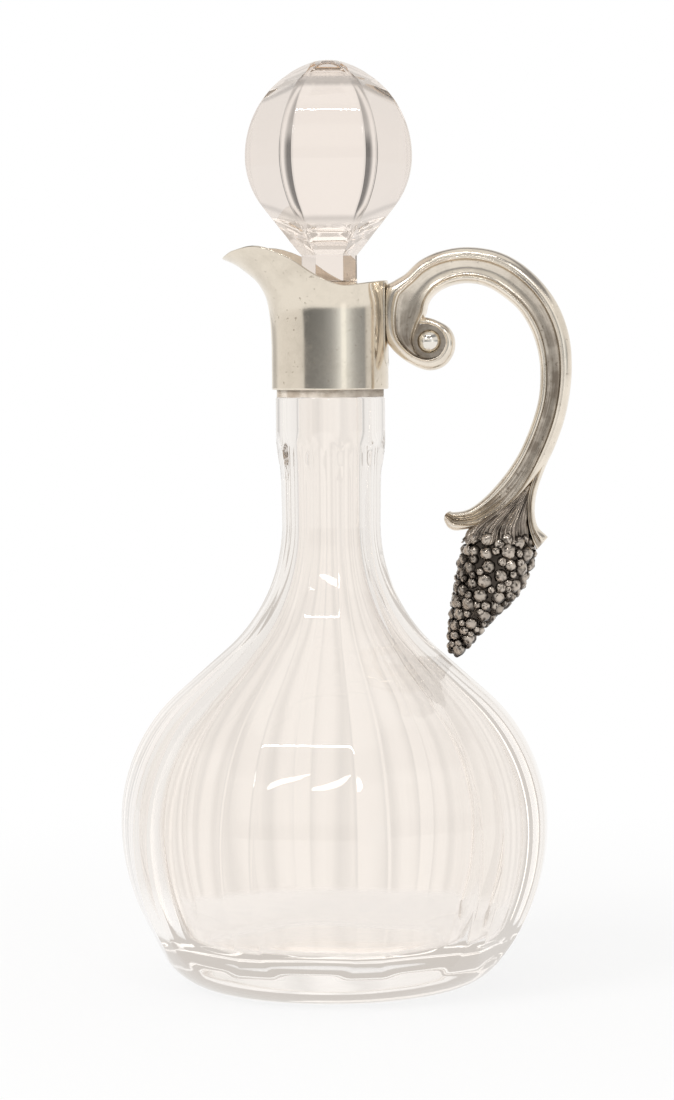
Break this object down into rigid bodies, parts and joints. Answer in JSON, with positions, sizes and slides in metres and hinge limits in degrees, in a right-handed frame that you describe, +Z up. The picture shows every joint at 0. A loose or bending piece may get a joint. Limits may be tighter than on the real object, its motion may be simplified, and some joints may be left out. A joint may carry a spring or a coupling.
{
  "type": "claret jug",
  "caption": "Claret jug with a broad-fluted cut-glass body and lift-out panelled stopper, a plain silver collar with a pouring lip, and a cast silver scroll handle ending in a grape bunch.",
  "frame": {"origin": "centre of the flat foot of the glass body, on the jug's axis", "axes": "+X towards the handle, so the pouring lip points along -X; +Z up from the foot to the stopper; +Y completes a right-handed frame"},
  "size_m": [0.1503, 0.1376, 0.304],
  "materials": {
    "body_glass": "polished",
    "stopper_glass": "polished",
    "plaster": "matte",
    "collar_silver": "polished",
    "plate_silver": "polished",
    "handle_silver": "satin",
    "boss_silver": "polished",
    "calyx_silver": "satin",
    "grape_silver": "satin"
  },
  "bodies": {
    "jug": {"glass_body": "body_glass", "plaster_bed": "plaster", "silver_collar": "collar_silver", "handle_plate": "plate_silver", "handle_left_half": "handle_silver", "handle_right_half": "handle_silver", "scroll_boss_left": "boss_silver", "scroll_boss_right": "boss_silver", "leaf_calyx": "calyx_silver", "grape_bunch": "grape_silver"},
    "stopper": {"glass_stopper": "stopper_glass"}
  },
  "joints": [
    {"name": "stopper_lift", "type": "slide", "parent": "jug", "child": "stopper", "axis": [0, 0, 1], "range_m": [0, 0.06]}
  ]
}
